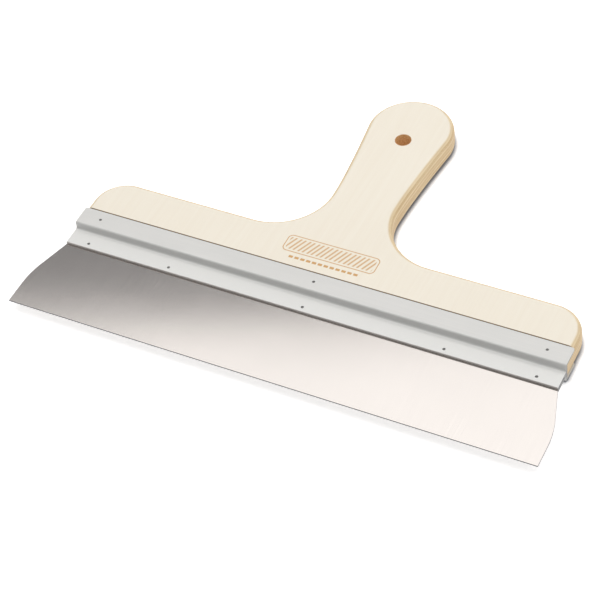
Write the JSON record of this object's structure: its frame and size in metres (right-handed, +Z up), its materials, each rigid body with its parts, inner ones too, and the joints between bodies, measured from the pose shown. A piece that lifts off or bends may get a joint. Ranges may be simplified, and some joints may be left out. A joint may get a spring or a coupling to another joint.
{
  "type": "wide taping knife",
  "caption": "Wide taping knife: thin steel blade with flared ends in an aluminium clamp profile, on a T-shaped plywood handle with a rounded grip and a hang hole.",
  "frame": {"origin": "centre of the knife's bounding box in plan, on the plane of the handle's back face, on which the knife lies", "axes": "+X along the blade's width, +Y from the blade edge to the head of the handle, +Z up from the back face to the front face"},
  "size_m": [0.35, 0.2478, 0.015],
  "materials": {
    "face_veneer": "sanded pale birch face veneer, grain along the handle",
    "long_veneer": "sanded ply edge, grain along the handle",
    "cross_veneer": "sanded ply edge, grain across the handle",
    "satin_aluminium": "satin anodised extrusion, drawn lengthwise",
    "stainless_steel": "cold-rolled stainless sheet, finely brushed lengthwise",
    "pin_steel": "dull steel pin ends, sunk below the surface"
  },
  "bodies": {
    "root": {"handle_ply_01": "face_veneer", "handle_ply_02": "cross_veneer", "handle_ply_03": "long_veneer", "handle_ply_04": "cross_veneer", "handle_ply_05": "long_veneer", "handle_ply_06": "cross_veneer", "handle_ply_07": "long_veneer", "handle_ply_08": "cross_veneer", "handle_ply_09": "long_veneer", "handle_ply_10": "cross_veneer", "handle_ply_11": "face_veneer", "clamp_profile": "satin_aluminium", "blade": "stainless_steel", "handle_pin_1": "pin_steel", "handle_pin_2": "pin_steel", "handle_pin_3": "pin_steel", "blade_rivet_1": "pin_steel", "blade_rivet_2": "pin_steel", "blade_rivet_3": "pin_steel", "blade_rivet_4": "pin_steel", "blade_rivet_5": "pin_steel"}
  },
  "joints": []
}
